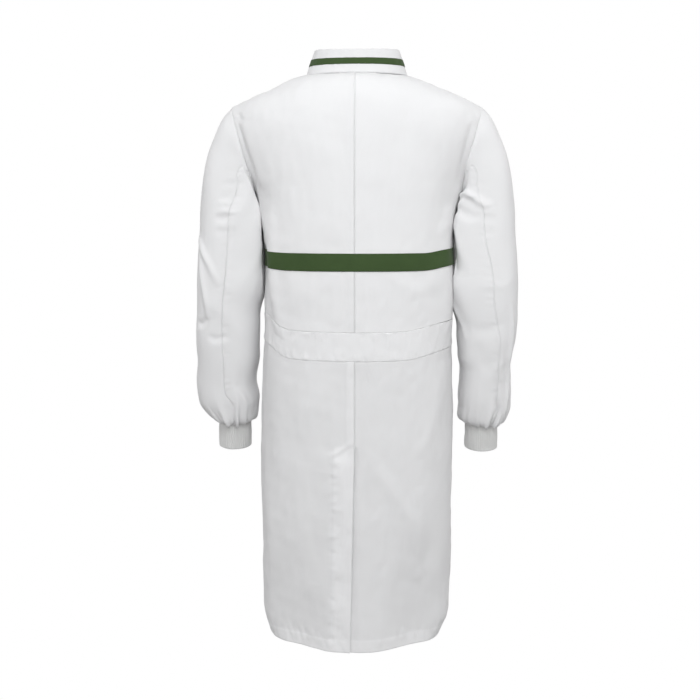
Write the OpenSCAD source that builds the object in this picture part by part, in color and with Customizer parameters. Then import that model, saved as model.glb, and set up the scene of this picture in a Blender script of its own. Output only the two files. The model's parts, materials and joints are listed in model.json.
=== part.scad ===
/* [Overall] */
// Height of the coat from the hem to the top of the collar at the back
coat_h = 1125; // [1100:5:1160]
// Half width of the body at the hem
hem_half_w = 182; // [175:1:190]
// Half width of the body at the hips
hip_half_w = 187; // [182:1:190]
// Half width of the body at the waistband
waist_half_w = 184; // [178:1:188]
// Half width of the body at the underarm
underarm_half_w = 193; // [188:1:196]
// Half depth of the body at the hem
hem_half_d = 131; // [128:1:134]
// Half depth of the body at the waistband
waist_half_d = 127; // [124:1:130]
// Half depth of the body at the chest
chest_half_d = 132; // [130:1:134]
// Roundness of the body's section: 2 is an ellipse, higher is squarer
section_power = 2.4; // [2.3:0.1:2.5]

/* [Shoulders and neck] */
// Height of the underarm
underarm_z = 842; // [835:1:850]
// Distance from the centre to the shoulder tip
tip_x = 243; // [238:1:248]
// Height of the shoulder tip
tip_z = 1016; // [1010:1:1022]
// Half width of the neck seam
neck_half_w = 99; // [95:1:102]
// Distance from the centre to the neck seam at the back
neck_back_d = 72; // [68:1:76]
// Distance from the centre to the neck seam at the front
neck_front_d = 80; // [76:1:84]
// Height of the neck seam at the front
neck_front_z = 1036; // [1030:1:1042]
// Height of the stand collar
collar_h = 48; // [44:1:52]
// How far the collar leans in towards its top edge
collar_lean = 16; // [12:1:18]

/* [Bands and openings] */
// Height of the top of the waistband
waist_top_z = 594; // [585:1:605]
// Height of the waistband itself
waistband_h = 55; // [50:1:60]
// Height of the top of the chest tape
chest_tape_z = 736; // [725:1:745]
// Width of the chest tape
chest_tape_w = 33; // [25:1:40]
// Width of the collar tape
collar_tape_w = 13; // [8:1:16]
// Height of the top of the back vent
vent_z = 380; // [350:2:410]
// Width of the vent flap and of the underlap behind it
vent_w = 40; // [35:1:50]
// Half width of the front placket
placket_half_w = 20; // [18:1:21]
// Number of press studs below the neck stud
stud_count = 6; // [5:1:8]
// Length of each pocket opening in the side seam
pocket_slit = 150; // [120:5:160]

/* [Sleeves] */
// Distance from the centre to the middle of the wrist
wrist_x = 247; // [245:1:252]
// Distance from the centre to the middle of the sleeve at the elbow
elbow_x = 254; // [252:1:257]
// Height of the cuff's lower edge
cuff_z = 338; // [330:1:350]
// Length of the knitted cuff
cuff_h = 58; // [50:1:64]
// Radius of the hole in the knitted cuff
cuff_bore_r = 29; // [26:0.5:31]
// Forward lean of the forearm in degrees
forearm_lean = 6; // [3:1:9]
// Half width of the sleeve at the elbow
sleeve_r = 59; // [56:1:62]

/* [Cloth] */
// Thickness of one layer of woven cloth
cloth_t = 1.0; // [0.8:0.1:1.1]
// Thickness of the knitted cuff
knit_t = 2.6; // [2:0.1:3]
// Gap left at each seam line
seam_gap = 0.8; // [0.6:0.1:1]
// Spacing between two layers that lie on each other
layer = 2.2; // [2:0.1:2.4]

/* [Hidden] */

white = "#f2f3f4";
knit_white = "#eceeed";
green = "#3c5a31";
metal = "#c9ccd0";

neck_back_z = coat_h - collar_h;
waist_low_z = waist_top_z - waistband_h;
chest_tape_low_z = chest_tape_z - chest_tape_w;
half_gap = seam_gap / 2;
back_power = 3.2;       // how square the back's profile is below the shoulder
front_power = 2.6;      // the same for the front
shoulder_power = 1.25;  // how the shoulder line bows
shoulder_over = 42;     // how far the section reaches past the armhole at the shoulder
fold_top = [50, -133, 900];   // each front folds open about this straight line, just before the cloth
fold_low = [140, -95, 0];
flap_top_z = fold_top[2];
placket_lift = 6;       // the left placket stands this far in front of the right one
cap_h = 1.6;            // height of a stud's cap
cap_gap = 0.3;          // between a stud's parts and the cloth they are pressed on to
// The front is flatter than the back by the height of its layers, which keeps the origin central.
front_less = placket_lift + cap_gap + cap_h - layer;
front_gap = 0.9;        // between a placket and the edge of its front, and at the fold
elbow_z = 610;
biceps_z = 800;

// ---------- small helpers ----------

function mix(a, b, t) = a + (b - a) * t;
function clamp01(t) = max(0, min(1, t));
function ease(t) = let (c = clamp01(t)) c * c * (3 - 2 * c);
function unit(v) = v / max(norm(v), 1e-9);

// A value that eases from station to station: table rows are [height, value], lowest first.
function eased(z, table, i = 0) =
    i >= len(table) - 2 || z < table[i + 1][0]
        ? mix(table[i][1], table[i + 1][1], ease((z - table[i][0]) / (table[i + 1][0] - table[i][0])))
        : eased(z, table, i + 1);

// ---------- the body's surface ----------

function half_w(z) = z > underarm_z
    ? mix(underarm_half_w, tip_x + shoulder_over, (z - underarm_z) / (tip_z - underarm_z))
    : eased(z, [[0, hem_half_w], [vent_z, hip_half_w], [waist_top_z, waist_half_w],
                [chest_tape_z, waist_half_w + 2], [underarm_z, underarm_half_w]]);

function half_d(z, back) = eased(z, [[0, hem_half_d], [waist_low_z, waist_half_d],
                                     [chest_tape_z, chest_half_d], [underarm_z, chest_half_d]])
    - (back ? 0 : front_less);

function shoulder_z(x) =
    let (q = clamp01((x - neck_half_w) / (tip_x - neck_half_w)))
    mix(neck_back_z, tip_z, pow(q, shoulder_power));

// Height of the neck seam at x: level at the back, and scooped at the front.
function neck_z(x, back) =
    back ? neck_back_z : mix(neck_front_z, neck_back_z, pow(min(1, x / neck_half_w), 2));

// The upper edge of the body at x: the neck seam near the centre, then the shoulder seam.
function top_z(x, back) = x < neck_half_w ? neck_z(x, back) : shoulder_z(x);
function top_d(x, back) = x < neck_half_w
    ? (back ? neck_back_d : neck_front_d) * sqrt(1 - pow(x / neck_half_w, 2)) : 0;

function ring_d(x, z, back) =
    half_d(z, back) * pow(max(0, 1 - pow(min(1, x / half_w(z)), section_power)), 1 / section_power);

function depth(x, z, back) = z <= underarm_z ? ring_d(x, z, back) :
    let (m = back ? back_power : front_power,
         rise = clamp01((z - underarm_z) / (top_z(x, back) - underarm_z)))
    mix(top_d(x, back), ring_d(x, z, back), pow(1 - pow(rise, m), 1 / m));

// A point of the section at height z; turn is 0 at the centre line and 90 at the side seam.
function section_point(turn, z, back) =
    let (x = half_w(z) * pow(sin(turn), 2 / section_power),
         y = z <= underarm_z ? half_d(z, back) * pow(cos(turn), 2 / section_power) : depth(x, z, back))
    [x, (back ? 1 : -1) * max(half_gap, y), z];

function turn_at(x, z) = asin(pow(min(1, x / half_w(z)), section_power / 2));

// The armhole's edge lies in one plane, so that the sleeve can turn against it.
function armhole_x(z) = mix(underarm_half_w, tip_x, min(1, (z - underarm_z) / (tip_z - underarm_z)));

// x at the neck and shoulder seam for q = 0 at the centre to 1 at the shoulder tip.
function seam_x(q) = q < 0.5 ? neck_half_w * sin(180 * q) : mix(neck_half_w, tip_x, 2 * q - 1);

// The upper body: q runs from the centre to the armhole, v from the underarm level to the seams.
function upper_point(q, v, back) =
    let (m = back ? back_power : front_power,
         x_top = seam_x(q),
         z = mix(underarm_z, top_z(x_top, back), pow(sin(90 * v), 2 / m)),
         x = armhole_x(z) * mix(pow(sin(90 * q), 2 / section_power), x_top / tip_x, v),
         y = mix(top_d(x_top, back), ring_d(x, z, back), pow(cos(90 * v), 2 / m)))
    [x, (back ? 1 : -1) * max(half_gap, y), z];

// ---------- sheets ----------

// A closed sheet of cloth: f(u, v) is its middle surface for u and v from 0 to 1, low and high are
// the offsets of its two faces along the surface's normal.
module sheet(f, nu, nv, low = -cloth_t / 2, high = cloth_t / 2) {
    e = 0.002;
    function normal(u, v) =
        unit(cross(f(min(1, u + e), v) - f(max(0, u - e), v), f(u, min(1, v + e)) - f(u, max(0, v - e))));
    spots = [for (j = [0:nv]) for (i = [0:nu]) [i / nu, j / nv]];
    outer = [for (s = spots) f(s[0], s[1]) + high * normal(s[0], s[1])];
    inner = [for (s = spots) f(s[0], s[1]) + low * normal(s[0], s[1])];
    w = nu + 1;
    n = w * (nv + 1);
    rim = concat([for (i = [0:nu - 1]) i], [for (j = [0:nv - 1]) j * w + nu],
                 [for (i = [nu:-1:1]) nv * w + i], [for (j = [nv:-1:1]) j * w]);
    faces = concat(
        [for (j = [0:nv - 1]) for (i = [0:nu - 1]) let (a = j * w + i)
            each [[a, a + w + 1, a + 1], [a, a + w, a + w + 1]]],
        [for (j = [0:nv - 1]) for (i = [0:nu - 1]) let (a = n + j * w + i)
            each [[a, a + 1, a + w + 1], [a, a + w + 1, a + w]]],
        [for (k = [0:len(rim) - 1]) let (a = rim[k], b = rim[(k + 1) % len(rim)])
            each [[a, b, b + n], [a, b + n, a + n]]]);
    polyhedron(concat(outer, inner), faces, convexity = 6);
}

// Body cloth on the +X half, between two heights and two lines t0(z) and t1(z), given as turns.
module body_sheet(back, z0, z1, t0, t1, nu, nv, lift = 0) {
    f = function (u, v)
        let (z = mix(z0, z1, v))
        section_point(mix(t0(z), t1(z), back ? 1 - u : u), z, back);
    sheet(f, nu, nv, lift - cloth_t / 2, lift + cloth_t / 2);
}

// A band round the whole back, from side seam to side seam.
module back_band(z0, z1, lift = 0) {
    f = function (u, v)
        let (turn = 90 - 180 * u, p = section_point(abs(turn), mix(z0, z1, v), true))
        [turn < 0 ? -p[0] : p[0], p[1], p[2]];
    sheet(f, 20, 1, lift - cloth_t / 2, lift + cloth_t / 2);
}

function fold_x(z) = mix(fold_low[0], fold_top[0], z / fold_top[2]);
centre_line = function (z) turn_at(half_gap, z);
side_line = function (z) 90;
placket_line = function (z) turn_at(placket_half_w + front_gap, z);
fold_in = function (z) turn_at(fold_x(z) - front_gap, z);
fold_out = function (z) turn_at(fold_x(z) + front_gap, z);
vent_line = function (z) turn_at(vent_w + half_gap, z);

// The wearer's right side is the mirror image of the left one.
module right() { mirror([1, 0, 0]) children(); }

// ---------- back ----------

module back_half() {
    z0 = waist_top_z + half_gap;
    waist_share = 0.4;   // of the rows, those below the underarm
    low = function (u, v) section_point(mix(centre_line(0), 90, 1 - u), mix(z0, underarm_z, v), true);
    high = function (u, v)
        let (p = upper_point(1 - u, v, true))
        [max(half_gap, p[0]), p[1], p[2]];
    f = function (u, v)
        v < waist_share ? low(u, v / waist_share) : high(u, (v - waist_share) / (1 - waist_share));
    sheet(f, 14, 15);
}

module back_left() { color(white) back_half(); }
module back_right() { color(white) right() back_half(); }

module waistband_back() {
    color(white) back_band(waist_low_z + half_gap, waist_top_z - half_gap);
}

module chest_tape_back() {
    color(green) back_band(chest_tape_low_z, chest_tape_z, layer);
}

module skirt_back_left() {
    color(white) {
        body_sheet(true, vent_z, waist_low_z - half_gap, centre_line, side_line, 8, 2);
        body_sheet(true, 0, vent_z, vent_line, side_line, 7, 5);
    }
}

module skirt_back_right() {
    color(white) right() body_sheet(true, 0, waist_low_z - half_gap, centre_line, side_line, 8, 7);
}

// The flap of the vent lies on top, hinged where its stitching runs.
module vent_flap() {
    edge = function (z) turn_at(vent_w - half_gap, z);
    color(white) body_sheet(true, 0, vent_z - seam_gap, centre_line, edge, 2, 6);
}

// The turned-back layer behind the flap.
module vent_facing() {
    start = function (z) turn_at(2, z);
    edge = function (z) turn_at(vent_w - 2, z);
    color(white) body_sheet(true, 2, vent_z - 4, start, edge, 2, 6, -layer);
}

// The right skirt runs on behind the flap as an underlap.
module vent_underlap() {
    start = function (z) turn_at(1, z);
    edge = function (z) turn_at(vent_w - 5, z);
    color(white) body_sheet(true, 0, vent_z - 4, start, edge, 2, 6, -2 * layer);
}

// ---------- front ----------

// The part of the upper front that stays with the body: outside the fold line, and whole above it.
module front_side_half() {
    z0 = waist_top_z + half_gap;
    reach = neck_front_z - underarm_z;
    v_flap = asin(pow((flap_top_z - underarm_z) / reach, front_power / 2)) / 90;
    x_start = placket_half_w + front_gap;
    x_fold = fold_top[0] + front_gap;
    function q_at(x, v) = mix(turn_at(x, underarm_z) / 90, asin(x / neck_half_w) / 180, v);
    low = function (u, v)
        let (z = mix(z0, underarm_z, v))
        section_point(mix(fold_out(z), 90, u), z, false);
    beside_flap = function (u, v)
        let (w = v * v_flap)
        upper_point(mix(q_at(mix(fold_x(underarm_z) + front_gap, x_fold, v), w), 1, u), w, false);
    above_flap = function (u, v)
        let (w = mix(v_flap, 1, v))
        upper_point(mix(q_at(x_start, w), 1, u), w, false);
    sheet(low, 6, 4);
    sheet(beside_flap, 6, 2);
    sheet(above_flap, 10, 8);
}

module front_flap_half() {
    body_sheet(false, waist_top_z + half_gap, flap_top_z - 2 * front_gap, placket_line, fold_in, 2, 6);
}

module front_left_side() { color(white) front_side_half(); }
module front_right_side() { color(white) right() front_side_half(); }
module front_left_flap() { color(white) front_flap_half(); }
module front_right_flap() { color(white) right() front_flap_half(); }

module waistband_side_half() {
    body_sheet(false, waist_low_z + half_gap, waist_top_z - half_gap, fold_out, side_line, 6, 1);
}
module waistband_flap_half() {
    body_sheet(false, waist_low_z + half_gap, waist_top_z - half_gap, placket_line, fold_in, 2, 1);
}
module waistband_left_side() { color(white) waistband_side_half(); }
module waistband_right_side() { color(white) right() waistband_side_half(); }
module waistband_left_flap() { color(white) waistband_flap_half(); }
module waistband_right_flap() { color(white) right() waistband_flap_half(); }

module skirt_side_half() {
    body_sheet(false, 0, waist_low_z - half_gap, fold_out, side_line, 5, 6);
}
module skirt_flap_half() {
    body_sheet(false, 0, waist_low_z - half_gap, placket_line, fold_in, 4, 6);
}
module skirt_left_side() { color(white) skirt_side_half(); }
module skirt_right_side() { color(white) right() skirt_side_half(); }
module skirt_left_flap() { color(white) skirt_flap_half(); }
module skirt_right_flap() { color(white) right() skirt_flap_half(); }

module tape_side_half() {
    body_sheet(false, chest_tape_low_z, chest_tape_z, fold_out, side_line, 6, 1, layer);
}
module tape_flap_half() {
    body_sheet(false, chest_tape_low_z, chest_tape_z, placket_line, fold_in, 2, 1, layer);
}
module chest_tape_left_side() { color(green) tape_side_half(); }
module chest_tape_right_side() { color(green) right() tape_side_half(); }
module chest_tape_left_flap() { color(green) tape_flap_half(); }
module chest_tape_right_flap() { color(green) right() tape_flap_half(); }

// A strip of placket on the centre front, from x0 to x1.
module placket(z0, z1, x0, x1, rows, lift) {
    f = function (u, v)
        let (z = mix(z0, z1, v), x = mix(x0, x1, u))
        [x, -depth(abs(x), z, false), z];
    sheet(f, 4, rows, lift - cloth_t / 2, lift + cloth_t / 2);
}
placket_top_z = neck_front_z - 6;
placket_low_z = flap_top_z - 2 * front_gap;
upper_rows = 12;
lower_rows = 40;
under_edge = placket_half_w - 4;   // the right placket ends short of the left front's edge
module placket_left(z0, z1, rows) {
    color(white) placket(z0, z1, -placket_half_w, placket_half_w, rows, placket_lift);
}
module placket_right(z0, z1, rows) { color(white) placket(z0, z1, -placket_half_w, under_edge, rows, 0); }
module placket_left_upper() { placket_left(flap_top_z, placket_top_z, upper_rows); }
module placket_left_lower() { placket_left(0, placket_low_z, lower_rows); }
module placket_right_upper() { placket_right(flap_top_z, placket_top_z, upper_rows); }
module placket_right_lower() { placket_right(0, placket_low_z, lower_rows); }

// ---------- press studs ----------

stud_low_z = 150;
stud_high_z = flap_top_z - 45;
neck_stud_z = neck_front_z - 62;

// Places one stud part on the cloth at height z, its axis square to the cloth.
module on_front(z) {
    tilt = atan2(depth(0, z - 6, false) - depth(0, z + 6, false), 12);
    translate([0, -depth(0, z, false), z]) rotate([90 - tilt, 0, 0]) children();
}
module at_studs() {
    for (k = [0:stud_count - 1]) on_front(mix(stud_low_z, stud_high_z, k / (stud_count - 1))) children();
}

face_z = cloth_t / 2 + cap_gap;   // from the middle of the cloth to the stud part on it
stud_fn = 32;

// The domed cap on the outside of the left placket.
module cap() {
    cap_r = 7.5;
    crown_r = 6.4;
    translate([0, 0, placket_lift + face_z]) cylinder(h = cap_h, r1 = cap_r, r2 = crown_r, $fn = stud_fn);
}

// The socket under the cap, open towards the post.
module socket() {
    socket_h = 2;
    socket_r = 6;
    bore_r = 3.4;
    bore_d = 1.5;
    overlap = 0.1;
    translate([0, 0, placket_lift - face_z - socket_h]) difference() {
        cylinder(h = socket_h, r = socket_r, $fn = stud_fn);
        translate([0, 0, -overlap]) cylinder(h = bore_d + overlap, r = bore_r, $fn = stud_fn);
    }
}

// The post that snaps into the socket, on its foot.
module post() {
    foot_r = 6;
    foot_h = 1.1;
    post_r = 2.2;
    post_h = 2.9;
    translate([0, 0, face_z]) {
        cylinder(h = foot_h, r = foot_r, $fn = stud_fn);
        cylinder(h = post_h, r = post_r, $fn = stud_fn);
    }
}

// The pronged ring that holds the post from inside.
module ring() {
    ring_h = 1;
    ring_r = 6.5;
    eye_r = 3;
    translate([0, 0, -face_z - ring_h]) difference() {
        cylinder(h = ring_h, r = ring_r, $fn = stud_fn);
        translate([0, 0, -ring_h / 2]) cylinder(h = 2 * ring_h, r = eye_r, $fn = stud_fn);
    }
}

module stud_caps() { color(metal) at_studs() cap(); }
module stud_sockets() { color(metal) at_studs() socket(); }
module stud_posts() { color(metal) at_studs() post(); }
module stud_rings() { color(metal) at_studs() ring(); }
module neck_stud_cap() { color(metal) on_front(neck_stud_z) cap(); }
module neck_stud_socket() { color(metal) on_front(neck_stud_z) socket(); }
module neck_stud_post() { color(metal) on_front(neck_stud_z) post(); }
module neck_stud_ring() { color(metal) on_front(neck_stud_z) ring(); }

// ---------- collar ----------

collar_end = 13;     // degrees from the centre front to each end of the stand collar
collar_foot = 1.5;   // the collar starts this far above the neck seam

// Stand collar: turn 0 is the centre front, 180 the centre back.
function collar_point(turn, rise) =
    let (back = cos(turn) < 0,
         lean = collar_lean * rise,
         d = (back ? neck_back_d : neck_front_d) - lean,
         base = neck_z(neck_half_w * abs(sin(turn)), back))
    [(neck_half_w - lean) * sin(turn), -d * cos(turn), base + mix(collar_foot, collar_h, rise)];

module collar_sheet(rise0, rise1, nv, lift) {
    f = function (u, v) collar_point(mix(collar_end, 360 - collar_end, u), mix(rise0, rise1, v));
    sheet(f, 34, nv, lift - cloth_t / 2, lift + cloth_t / 2);
}

module collar_outer() { color(white) collar_sheet(0, 1, 2, 0); }
module collar_inner() { color(white) collar_sheet(0.02, 0.98, 2, -layer); }
module collar_tape() {
    middle = 0.5;
    half = collar_tape_w / 2 / collar_h;
    color(green) collar_sheet(middle - half, middle + half, 1, layer);
}

label_w = 44;
label_h = 28;
label_y = neck_back_d - 6;
module neck_label() {
    label_z = neck_back_z - 1 - label_h;
    color(white) translate([-label_w / 2, label_y, label_z]) cube([label_w, cloth_t, label_h]);
}

// A narrow tape sewn in at both ends below the collar, hanging in a U.
loop_r = 13;
loop_w = 6;
loop_t = 1.4;
loop_leg = 6;
loop_y = label_y - 5;
module hanging_loop() {
    color(white) translate([0, loop_y, neck_back_z - 2 - loop_leg]) {
        rotate([90, 0, 0]) linear_extrude(height = loop_w, center = true) difference() {
            circle(r = loop_r + loop_t, $fn = 48);
            circle(r = loop_r, $fn = 48);
            translate([-2 * loop_r, 0]) square([4 * loop_r, 2 * loop_r]);
        }
        for (x = [-loop_r - loop_t, loop_r])
            translate([x, -loop_w / 2, -0.01]) cube([loop_t, loop_w, loop_leg]);
    }
}

// ---------- pockets ----------

// A flat bag inside the side seam: two layers hanging behind the front.
module pocket_half() {
    top = waist_low_z - 25;
    bag_w = 107;
    bag_below_slit = 40;
    beside_seam = 5;
    low = top - pocket_slit - bag_below_slit;
    inner = function (z) turn_at(half_w(z) - beside_seam - bag_w, z);
    outer = function (z) turn_at(half_w(z) - beside_seam, z);
    for (depth_behind = [layer + 1, 2 * layer + 2])
        body_sheet(false, low, top, inner, outer, 4, 3, -depth_behind);
}
module pocket_bag_left() { color(white) pocket_half(); }
module pocket_bag_right() { color(white) right() pocket_half(); }

// ---------- sleeves ----------

armhole_out = unit([tip_z - underarm_z, 0, underarm_half_w - tip_x]);  // square to the armhole
rim_gap = 3;          // between the sleeve's rim and the armhole
body_gap = 4;         // least distance between the hanging sleeve and the body
cuff_top_z = cuff_z + cuff_h;
cuff_y = -36;         // the wrist hangs this far in front of the shoulder
cuff_in_sleeve = 1.5; // the cuff starts this far below the sleeve's lower edge
blouse_h = 62;        // height over which the sleeve swells above its cuff
oval = 1.08;          // the sleeve is this much deeper than wide
sleeve_split = 0.64;  // share of the sleeve's rows that lies below the biceps

// The two-piece sleeve's seams, in degrees round the sleeve from its outer side. v runs from 0 at
// the cuff to 1 at the armhole, where the back seam ends near the underarm.
front_seam = 290;
half_seam = 0.5;
function back_seam(v) = eased(v, [[0, 84], [0.3, 78], [sleeve_split, 92], [1, 162]]);

// The rim of the sleeve: turn 0 is the shoulder tip, 90 the back, 180 the underarm.
function rim_point(turn) =
    let (a = turn > 180 ? 360 - turn : turn,
         v = 1 - a / 180)
    upper_point(1, v, turn < 180) + rim_gap * armhole_out;

function arm_x(z) = eased(z, [[cuff_top_z, wrist_x], [elbow_z, elbow_x], [biceps_z, elbow_x]]);
function arm_y(z) = eased(z, [[cuff_top_z, cuff_y], [elbow_z + 80, 2], [biceps_z, 4]]);
function arm_r(z) = eased(z, [[cuff_top_z, cuff_bore_r + knit_t + 2],
                              [cuff_top_z + blouse_h, sleeve_r - 1],
                              [elbow_z, sleeve_r], [biceps_z, sleeve_r - 3]]);

// A level ring of the arm, flattened where it lies against the body.
function arm_point(turn, z) =
    let (x = arm_x(z) + arm_r(z) * cos(turn))
    [max(x, half_w(z) + body_gap), arm_y(z) + oval * arm_r(z) * sin(turn), z];

// The sleeve's surface: v 0 is the cuff's seam and 1 the rim, and above the biceps it curves to the rim.
function sleeve_point(turn, v) =
    v <= sleeve_split ? arm_point(turn, mix(cuff_top_z, biceps_z, v / sleeve_split)) :
    let (t = (v - sleeve_split) / (1 - sleeve_split),
         a = arm_point(turn, biceps_z),
         b = rim_point(turn),
         high = (1 + cos(turn)) / 2,
         span = norm(b - a),
         up = [0, 0, span * 0.95],
         into = span * unit(-mix(0.1, 0.9, high) * armhole_out + [0, 0, mix(1, 0.55, high)]) * 0.8)
    (1 + 2 * t) * pow(1 - t, 2) * a + t * pow(1 - t, 2) * up
        + t * t * (3 - 2 * t) * b + t * t * (t - 1) * into;

// Sleeve cloth between two lines from(v) and to(v), given as turns.
module sleeve_sheet(from, to, nu) {
    f = function (u, v) sleeve_point((mix(from(v), to(v), u) + 360) % 360, v);
    sheet(f, nu, 18);
}

module sleeve_top_half() {
    sleeve_sheet(function (v) front_seam - 360 + half_seam, function (v) back_seam(v) - half_seam, 12);
}
module sleeve_under_half() {
    sleeve_sheet(function (v) back_seam(v) + half_seam, function (v) front_seam - half_seam, 12);
}
module sleeve_top_left() { color(white) sleeve_top_half(); }
module sleeve_top_right() { color(white) right() sleeve_top_half(); }
module sleeve_under_left() { color(white) sleeve_under_half(); }
module sleeve_under_right() { color(white) right() sleeve_under_half(); }

// A knitted tube round the wrist.
module cuff_half() {
    overlap = 1;
    translate([wrist_x, cuff_y, cuff_top_z - cuff_in_sleeve])
        rotate([-forearm_lean, 0, 0])
            translate([0, 0, -cuff_h])
                difference() {
                    cylinder(h = cuff_h, r = cuff_bore_r + knit_t, $fn = 64);
                    translate([0, 0, -overlap])
                        cylinder(h = cuff_h + 2 * overlap, r = cuff_bore_r, $fn = 64);
                }
}
module cuff_left() { color(knit_white) cuff_half(); }
module cuff_right() { color(knit_white) right() cuff_half(); }

// ---------- one node at a time, or all of them ----------

back_left();
back_right();
waistband_back();
skirt_back_left();
skirt_back_right();
vent_flap();
vent_facing();
vent_underlap();
chest_tape_back();
front_left_side();
front_right_side();
front_left_flap();
front_right_flap();
waistband_left_side();
waistband_right_side();
waistband_left_flap();
waistband_right_flap();
skirt_left_side();
skirt_right_side();
skirt_left_flap();
skirt_right_flap();
chest_tape_left_side();
chest_tape_right_side();
chest_tape_left_flap();
chest_tape_right_flap();
placket_left_upper();
placket_left_lower();
placket_right_upper();
placket_right_lower();
stud_caps();
stud_sockets();
stud_posts();
stud_rings();
neck_stud_cap();
neck_stud_socket();
neck_stud_post();
neck_stud_ring();
collar_outer();
collar_inner();
collar_tape();
neck_label();
hanging_loop();
pocket_bag_left();
pocket_bag_right();
sleeve_top_left();
sleeve_top_right();
sleeve_under_left();
sleeve_under_right();
cuff_left();
cuff_right();
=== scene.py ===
"""A white laboratory coat with green tapes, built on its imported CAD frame. Lengths are in millimetres
until a mesh is made, and the coat stands in the CAD frame: +Z up, back at +Y, wearer's left at +X."""

import json
import math

import bpy
import numpy as np
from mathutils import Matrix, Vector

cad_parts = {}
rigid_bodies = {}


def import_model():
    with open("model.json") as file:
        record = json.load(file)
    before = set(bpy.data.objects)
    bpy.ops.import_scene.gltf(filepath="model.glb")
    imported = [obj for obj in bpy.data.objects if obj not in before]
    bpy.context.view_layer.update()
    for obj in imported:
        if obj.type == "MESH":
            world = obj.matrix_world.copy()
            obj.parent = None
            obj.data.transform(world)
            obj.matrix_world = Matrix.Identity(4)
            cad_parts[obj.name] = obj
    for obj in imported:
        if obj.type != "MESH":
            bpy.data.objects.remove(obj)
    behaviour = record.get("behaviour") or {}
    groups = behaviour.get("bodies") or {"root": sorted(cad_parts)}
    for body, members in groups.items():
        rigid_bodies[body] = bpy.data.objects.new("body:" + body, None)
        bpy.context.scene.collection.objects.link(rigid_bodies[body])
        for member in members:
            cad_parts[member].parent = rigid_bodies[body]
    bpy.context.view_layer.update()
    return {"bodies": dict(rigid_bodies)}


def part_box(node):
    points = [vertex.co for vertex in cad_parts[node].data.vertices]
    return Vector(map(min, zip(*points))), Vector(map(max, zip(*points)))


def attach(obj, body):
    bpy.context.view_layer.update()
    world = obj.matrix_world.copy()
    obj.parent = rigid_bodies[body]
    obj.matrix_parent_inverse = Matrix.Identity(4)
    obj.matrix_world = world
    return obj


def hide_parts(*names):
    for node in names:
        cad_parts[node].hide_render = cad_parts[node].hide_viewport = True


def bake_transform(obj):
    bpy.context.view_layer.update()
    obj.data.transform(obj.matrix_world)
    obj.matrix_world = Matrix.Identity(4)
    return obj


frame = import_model()

MM = 0.001


def box_mm(node):
    """Lowest and highest corner of a CAD node, in millimetres."""
    low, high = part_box(node)
    return np.array(low) / MM, np.array(high) / MM


# ---------- sizes, read from the frame where a node carries them ----------

waist_low_z = box_mm("waistband_back")[0][2]
waist_top_z = box_mm("waistband_back")[1][2]
tape_low_z = box_mm("chest_tape_back")[0][2]
tape_top_z = box_mm("chest_tape_back")[1][2]
collar_top_z = box_mm("collar_outer")[1][2]
vent_z = box_mm("vent_flap")[1][2]
vent_w = box_mm("vent_flap")[1][0]
tip_x = box_mm("back_left")[1][0]
placket_half_w = box_mm("placket_left_lower")[1][0]
cuff_top_z = box_mm("cuff_left")[1][2]

collar_h = 48
neck_back_z = collar_top_z - collar_h
neck_front_z = 1036
neck_half_w = 99
neck_back_d = 72
neck_front_d = 80
collar_lean = 16
collar_foot = 0.6
collar_end = 13          # degrees from the centre front to each end of the collar
tip_z = 1016
underarm_z = 842
underarm_half_w = 193
hem_half_w, hip_half_w, waist_half_w = 182, 187, 184
hem_half_d, waist_half_d, chest_half_d = 131, 127, 132
front_less = 5.7         # the front's section is this much flatter than the back's
section_power = 2.4
back_power, front_power = 3.2, 2.6
shoulder_power = 1.25
shoulder_over = 42
rise_len = 200           # length of cloth from the underarm level up to the seams

wrist_x, elbow_x, cuff_y = 247, 254, -36
elbow_z, biceps_z = 610, 800
sleeve_r = 59
blouse_h = 62            # height over which the sleeve swells above its cuff
cuff_bore_r, knit_t, cuff_len = 29, 2.6, 58
forearm_lean = math.radians(6)
front_seam = 290         # degrees round the sleeve from its outer side
# The back seam's place, from the cuff (0) to the armhole (1), on the wearer's left and right.
left_back_seam = [(0, 104), (0.1, 88.5), (0.28, 87.5), (0.64, 94), (0.8, 108), (1, 165)]
right_back_seam = [(0, 78), (0.05, 69), (0.2, 67), (0.4, 84), (0.64, 95), (0.8, 108), (1, 165)]

cloth_t = 0.7            # thickness of the woven cloth as shown
thin_shade = 0.055       # painted shade: how much darker the colour of a single layer is made than a doubled one, standing in for the shaded inside showing through
layer = 1.9              # step from one layer of cloth to the next
placket_lift = 6
hem_turn = 22            # depth of the turned-up hem
felled_w = 11            # width of the felled strip beside the centre-back seam
felled_t = 0.7           # how far it stands above the single cloth
felled_stitches = (1.8, 9.6)
grain = 3.2              # spacing of the cloth's mesh
half_girth = 270         # lengths that set how many stations a piece gets
sleeve_len, collar_len = 620, 480
tape_stand, band_stand = 1.4, 0.5    # how far the tape and the waistband stand off the cloth
stitch_pitch, stitch_len, stitch_r = 3.2, 2.3, 0.28
seam_reach = 3            # length of a sleeve's cloth past the armhole seam, inside the body
sleeve_split = 0.64       # share of the sleeve's length from the cuff to the biceps
sides = ((True, "left"), (False, "right"))


# ---------- small helpers ----------

def mix(a, b, t):
    return a + (b - a) * t


def ease(t):
    c = np.clip(t, 0, 1)
    return c * c * (3 - 2 * c)


def eased(z, stations):
    """A value that eases from station to station: rows of (height, value), lowest first."""
    value = np.full_like(np.asarray(z, float), stations[0][1])
    for (z0, v0), (z1, v1) in zip(stations, stations[1:]):
        value = value + (v1 - v0) * ease((z - z0) / (z1 - z0))
    return value


def unit(v):
    return v / np.maximum(np.linalg.norm(v, axis=-1, keepdims=True), 1e-9)


def bell(d, width):
    return np.exp(-(d / width) ** 2)


def stack(x, y, z):
    return np.stack(np.broadcast_arrays(x, y, z), axis=-1).astype(float)


# ---------- the coat's surfaces ----------

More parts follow.
